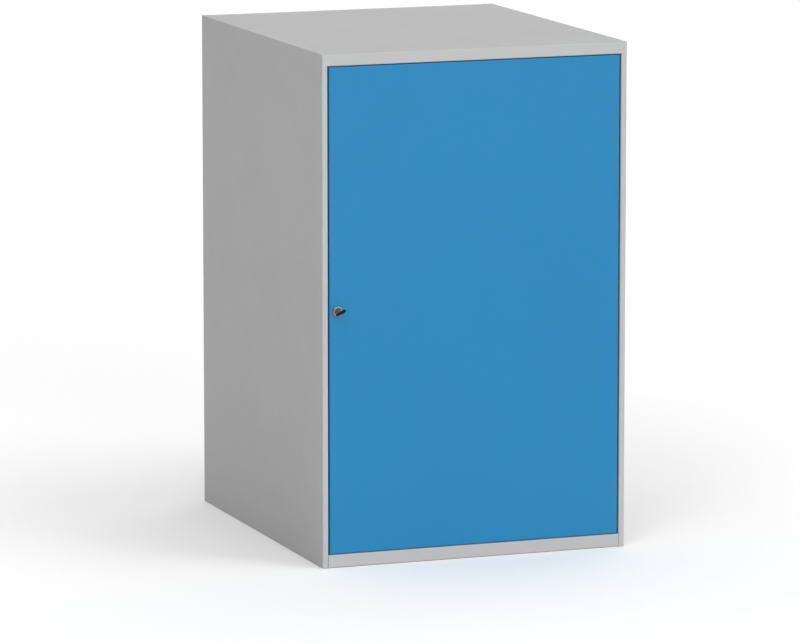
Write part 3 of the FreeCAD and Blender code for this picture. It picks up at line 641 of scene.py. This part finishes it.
for name, u, base in (("upper", -1, ZR + 4), ("lower", 1, ZF - 4)):
    tip = (ZR - 15) if u < 0 else (ZF + 15)
    pin = turned(
        [(0, tip), (2.2, tip, 0.2), (3.0, tip + (-u) * 0.8, 0.3), (3.0, base), (4.4, base, 0.15), (4.4, base - u * 2, 0.6), (0, base - u * 2)]
    )
    piece("vis_%s_hinge_pin" % name, lathe(pin, "z", (AX, AY), 40), "cabinet", ["%s_hinge_pin" % name], mat_zinc)


def hexagon(cx, cy, across, turn=0.0):
    r = across / math.sqrt(3.0)
    return [Vector((cx + r * math.cos(turn + math.radians(60 * i)), cy + r * math.sin(turn + math.radians(60 * i)))) for i in range(6)]


screws = []
for u, seat, tip in ((1, ZR + 4, ZR + 0.1), (-1, ZF - 4, ZF - 0.1)):
    for x, y in screw_spots:
        body = lathe(
            turned([(0, tip), (2.3, tip, 0.15), (2.5, tip + u * 0.3), (2.5, seat), (4.4, seat, 0.1), (4.4, seat + u * 2.6, 1.0), (0, seat + u * 2.6)]),
            "z",
            (x, y),
            40,
        )
        lo, hi = sorted((seat + u * 1.0, seat + u * 3.6))
        screws.append(cut(body, prism(hexagon(x, y, 3.0), "z", lo, hi)))
piece("vis_hinge_plate_screws", join(screws), "cabinet", ["hinge_plate_screws"], mat_zinc)

# ------------------------------------------------------------------ door stop
stop_x = -XJ + 20.0
loop = rounded(
    [
        (YL, ZF, BEND),
        (YL + 22, ZF, 0.2),
        (YL + 22, ZF + 1.5, 0.2),
        (YL + 1.5, ZF + 1.5, 0.6),
        (YL + 1.5, ZF + 18, 0.2),
        (YL, ZF + 18, 0.2),
    ]
)
piece("vis_lower_stop_bracket", prism(loop, "x", stop_x - 10, stop_x + 10, 0.25), "cabinet", ["lower_stop_bracket"], mat_grey)
pad = turned([(0, YL - 1.6), (4.5, YL - 1.6, 0.75), (4.5, YL), (0, YL)])
pads = [lathe(pad, "y", p, 40) for p in ((stop_x, ZR - 5), (-60.0, ZR - 5), (stop_x, ZF + 9))]
piece("vis_door_buffers", join(pads), "cabinet", ["door_buffers"], mat_rubber)

# ------------------------------------------------------------------ door
pan = turned(
    [
        (16.0, YF),
        (0.0, YF, BEND),
        (0.0, YD, 0.9),
        (12.0, YD, 0.2),
        (12.0, YD - 1, 0.2),
        (1.0, YD - 1, 0.3),
        (1.0, YF + 1, BEND_IN),
        (16.0, YF + 1),
    ],
    ARC,
)
bm = ring_sweep(pan, PLACE["y"], DL, DB, DR, DT)
holes = [
    prism(circle(LX, LZ, 7.1, 48), "y", YF - 1, YF + 2),
    prism(rounded(box_outline(DL + 3, LZ - 13, DL + 13, LZ + 13, 1.0), 3), "y", YD - 1.5, YD + 1),
    prism(circle(AX, AY, 5.02, 40), "z", DB - 1, DB + 2),
    prism(circle(AX, AY, 5.02, 40), "z", DT - 2, DT + 1),
]
bm = cut(bm, join(holes))
piece("vis_door_skin", bm, "door", ["door_skin"], mat_blue)

yi = YF + 1
loop = rounded(
    [
        (-40, yi, 0.2),
        (-24, yi, BEND),
        (-24, yi + 15, BEND_IN),
        (24, yi + 15, BEND_IN),
        (24, yi, BEND),
        (40, yi, 0.2),
        (40, yi + 1, 0.2),
        (25, yi + 1, BEND_IN),
        (25, yi + 16, BEND),
        (-25, yi + 16, BEND),
        (-25, yi + 1, BEND_IN),
        (-40, yi + 1, 0.2),
    ]
)
piece("vis_door_stiffener", prism(loop, "z", DB + 2.5, DT - 2.5, 0.2), "door", ["door_stiffener"], mat_blue)

for name, lo, hi in (("upper", DT - 4, DT - 1), ("lower", DB + 1, DB + 4)):
    loop = rounded([(AX - 20, YF + 2.1, 0.4), (DR - 1.2, YF + 2.1, 0.4), (DR - 1.2, YD - 2.2, 0.4), (AX - 20, YD - 2.2, 3.0)])
    bm = cut(prism(loop, "z", lo, hi, 0.3), prism(circle(AX, AY, 5.02, 40), "z", lo - 1, hi + 1))
    piece("vis_%s_door_hinge_plate" % name, bm, "door", ["%s_door_hinge_plate" % name], mat_blue)

for name, u, base in (("lower", 1, DB), ("upper", -1, DT)):
    ring = turned(
        [
            (3.05, base - u * 0.6, 0.0),
            (6.0, base - u * 0.6, 0.2),
            (6.0, base, 0.1),
            (5.0, base, 0.1),
            (5.0, base + u * 8.4, 0.1),
            (4.4, base + u * 9.0, 0.1),
            (3.05, base + u * 9.0, 0.0),
        ]
    )
    piece("vis_%s_hinge_bush" % name, lathe(ring, "z", (AX, AY), 48, True), "door", ["%s_hinge_bush" % name], mat_bush)

# ------------------------------------------------------------------ lock
# On the lock's own axis: y = 0 is the front of the door, the key slot is level.
Y_FACE, Y_END = -2.2, 22.2
barrel = [(5.05, Y_FACE + 0.4), (5.4, Y_FACE), (8.2, Y_FACE, 1.2), (8.2, 0.0, 0.1), (7.0, 0.0), (7.0, 4.6)]
thread = []
y = 5.0
while y < 21.2:
    thread += [(7.0, y), (6.45, y + 0.5)]
    y += 1.0
barrel += thread + [(7.0, 21.3), (7.0, Y_END - 0.5), (6.5, Y_END), (5.05, Y_END)]
bm = about_lock(lathe(turned(barrel), "y", (0, 0), 64, True))
piece("vis_lock_housing", bm, "door", ["lock_housing"], mat_nickel, 40.0)

bm = prism(rounded([(p.x, p.y, 0.6) for p in hexagon(0, 0, 19.0)], 4), "y", 1.0, 5.0, 0.35)
bm = cut(bm, lathe([Vector((7.02, 0.5)), Vector((7.02, 4.5)), Vector((7.5, 5.5)), Vector((0, 5.5)), Vector((0, 0.5))], "y", (0, 0), 48))
piece("vis_lock_nut", about_lock(bm), "door", ["lock_nut"], mat_zinc)

Y_CAM = Y_END + 0.2
Y_TEN = Y_CAM + 2.3
bm = lathe(turned([(0, Y_FACE + 0.3), (4.7, Y_FACE + 0.3, 0.1), (5.0, Y_FACE + 0.6, 0.1), (5.0, Y_END, 0.1), (0, Y_END)]), "y", (0, 0), 48)
bm = fuse(bm, prism(rounded(box_outline(-3.3, -3.3, 3.3, 3.3, 0.4), 3), "y", Y_END - 1, Y_TEN))
bm = cut(
    bm,
    prism(rounded(box_outline(-3.7, -1.2, 3.7, 1.2, 0.3), 3), "y", Y_FACE - 1, 16.0),
    prism(circle(0, 0, 1.7, 24), "y", Y_TEN - 8, Y_TEN + 1),
)
# The plug's dark colour is partly painted shade of the key and the keyhole.
piece("vis_lock_plug", about_lock(bm, TURN), "lock_cylinder", ["lock_plug"], mat_dark_plug_and_painted_shade)

reach = math.sqrt(8.0**2 - 6.0**2)
outline = [Vector((6.0 * math.cos(math.pi * k / 16), 16.0 + 6.0 * math.sin(math.pi * k / 16))) for k in range(17)]
a0 = math.atan2(reach, -6.0)
a1 = math.atan2(reach, 6.0) + 2 * math.pi
outline += [Vector((8.0 * math.cos(a0 + (a1 - a0) * k / 30), 8.0 * math.sin(a0 + (a1 - a0) * k / 30))) for k in range(31)]
bm = prism(outline, "y", Y_CAM, Y_CAM + 2.5, 0.3)
bm = cut(bm, prism(rounded(box_outline(-3.35, -3.35, 3.35, 3.35, 0.4), 3), "y", Y_CAM - 1, Y_CAM + 4))
piece("vis_lock_cam", about_lock(bm, TURN), "lock_cylinder", ["lock_cam"], mat_zinc)

yc2 = Y_CAM + 2.5
bm = lathe(turned([(0, Y_TEN - 6.5), (1.45, Y_TEN - 6.5), (1.65, Y_TEN - 6.2), (1.65, yc2), (4.2, yc2, 0.1), (4.2, yc2 + 2.4, 1.2), (0, yc2 + 2.4)]), "y", (0, 0), 40)
cross = fuse(
    prism(rounded(box_outline(-2.6, -0.5, 2.6, 0.5, 0.3), 3), "y", yc2 + 1.2, yc2 + 3.4),
    prism(rounded(box_outline(-0.5, -2.6, 0.5, 2.6, 0.3), 3), "y", yc2 + 1.2, yc2 + 3.4),
)
piece("vis_lock_cam_screw", about_lock(cut(bm, cross), TURN), "lock_cylinder", ["lock_cam_screw"], mat_zinc)

# ------------------------------------------------------------------ key
Y_BOW = Y_FACE - 8.0
Y_TANG = Y_BOW - 4.6
blade = [
    (-3.3, Y_FACE - 0.6, 0.2),
    (-3.3, 14.6, 0.3),
    (-2.2, 15.6, 0.3),
    (2.0, 15.6, 0.3),
    (2.6, 14.4, 0.3),
    (1.8, 12.6, 0.3),
    (1.8, 11.4, 0.3),
    (3.2, 9.6, 0.3),
    (3.2, 8.6, 0.3),
    (2.2, 7.2, 0.3),
    (2.2, 6.2, 0.3),
    (3.3, 4.6, 0.3),
    (3.3, Y_FACE - 0.6, 0.2),
    (4.6, Y_FACE - 0.6, 0.3),
    (4.6, Y_BOW),
    (3.0, Y_BOW),
    (3.0, Y_TANG),
    (-3.0, Y_TANG),
    (-3.0, Y_BOW),
    (-4.6, Y_BOW),
    (-4.6, Y_FACE - 0.6, 0.3),
]
bm = prism(rounded(blade, 3), "z", -0.8, 0.8, 0.15)
bm = cut(bm, prism(rounded(box_outline(-1.6, Y_FACE - 0.5, -0.6, 16.5)), "z", 0.45, 2.0))
piece("vis_key_blade", about_lock(bm, TURN), "key", ["key_blade"], mat_key)

bw, bt, y_tip = 8.5, 1.4, Y_BOW - 10.0
loop = rounded([(-bw, y_tip, 4.5), (bw, y_tip, 4.5), (bw, Y_BOW, 3.0), (-bw, Y_BOW, 3.0)], 10)
ring_hole = turned(
    [
        (0, -bt - 1),
        (2.1, -bt - 1),
        (2.1, -bt, 0.0),
        (1.6, -bt + 0.5, 0.3),
        (1.6, bt - 0.5, 0.3),
        (2.1, bt, 0.0),
        (2.1, bt + 1),
        (0, bt + 1),
    ]
)
bm = cut(
    prism(loop, "z", -bt, bt, 0.9, 5),
    prism(rounded(box_outline(-3.0, -0.8, 3.0, 0.8)), "y", Y_TANG, Y_BOW + 1),
    lathe(ring_hole, "z", (0, y_tip + 3.2), 40),
)
piece("vis_key_bow", about_lock(bm, TURN), "key", ["key_bow"], mat_black)

# ------------------------------------------------------------------ floor
n = Nodes("studio_floor")
n.bsdf.inputs["Base Color"].default_value = (0.93, 0.93, 0.93, 1.0)
n.set(Roughness=0.9)
n.bsdf.inputs["Specular IOR Level"].default_value = 0.1
bm = bmesh.new()
bmesh.ops.create_circle(bm, cap_ends=True, radius=40.0, segments=96)
mesh = bpy.data.meshes.new("floor")
bm.to_mesh(mesh)
bm.free()
mesh.materials.append(n.mat)
floor = bpy.data.objects.new("floor", mesh)
bpy.context.scene.collection.objects.link(floor)
floor.location.z = -0.0004

# ------------------------------------------------------------------ light
scene = bpy.context.scene
world = bpy.data.worlds.new("studio")
scene.world = world
world.use_nodes = True
bg = world.node_tree.nodes["Background"]
bg.inputs["Color"].default_value = (1.0, 1.0, 1.0, 1.0)
bg.inputs["Strength"].default_value = 0.02
# the backdrop past the edge of the floor is as white as the floor
sky = world.node_tree.nodes.new("ShaderNodeLightPath")
level = world.node_tree.nodes.new("ShaderNodeMapRange")
level.inputs["To Min"].default_value = 0.02
level.inputs["To Max"].default_value = 1.0
world.node_tree.links.new(sky.outputs["Is Camera Ray"], level.inputs["Value"])
world.node_tree.links.new(level.outputs["Result"], bg.inputs["Strength"])


def sun(name, azimuth, elevation, strength, spread, colour=(1, 1, 1)):
    """Distant soft light; azimuth is measured from +X towards +Y to where the light stands."""
    lamp = bpy.data.lights.new(name, "SUN")
    lamp.energy = strength
    lamp.angle = math.radians(spread)
    lamp.color = colour
    o = bpy.data.objects.new(name, lamp)
    scene.collection.objects.link(o)
    a, e = math.radians(azimuth), math.radians(elevation)
    to_light = Vector((math.cos(a) * math.cos(e), math.sin(a) * math.cos(e), math.sin(e)))
    o.rotation_euler = to_light.to_track_quat("Z", "Y").to_euler()
    o.location = to_light * 6.0
    return o


def softbox(name, place, aim, size, power):
    """Square soft light close to the cabinet, turned to a point on it."""
    lamp = bpy.data.lights.new(name, "AREA")
    lamp.shape = "SQUARE"
    lamp.size = size
    lamp.energy = power
    o = bpy.data.objects.new(name, lamp)
    scene.collection.objects.link(o)
    o.location = place
    o.rotation_euler = (Vector(place) - Vector(aim)).to_track_quat("Z", "Y").to_euler()
    o.visible_camera = False
    return o


sun("overhead", 0.0, 90.0, 1.40, 90.0)
sun("front_low", 266.0, 10.0, 0.903, 40.0)
sun("front_right_low", 284.0, 10.0, 0.648, 40.0)
sun("right", -47.0, 18.0, 0.409, 16.0)
sun("right_high", -35.0, 57.0, 0.596, 32.0)
sun("front_left", 230.0, 40.0, 0.596, 24.0)
sun("left_high", 200.0, 55.0, 0.177, 24.0)
sun("rear_right", 50.0, 25.0, 0.709, 60.0)
sun("rear_left", 130.0, 50.0, 0.337, 60.0)
softbox("near_left", (-0.8, -1.4, 1.0), (-0.255, -0.295, 0.45), 0.5, 0.62)

scene.view_settings.view_transform = "Standard"
scene.view_settings.look = "None"

# ------------------------------------------------------------------ camera
cam = bpy.data.cameras.new("camera")
cam.sensor_fit = "HORIZONTAL"
cam.sensor_width = 36.0
cam.lens = 258.5
cam.clip_end = 200.0
eye = bpy.data.objects.new("camera", cam)
scene.collection.objects.link(eye)
az, el = math.radians(20.27), math.radians(9.38)
forward = Vector((math.sin(az) * math.cos(el), math.cos(az) * math.cos(el), -math.sin(el)))
eye.location = (-3.196, -8.607, 1.849)
eye.rotation_euler = forward.to_track_quat("-Z", "Y").to_euler()
scene.camera = eye
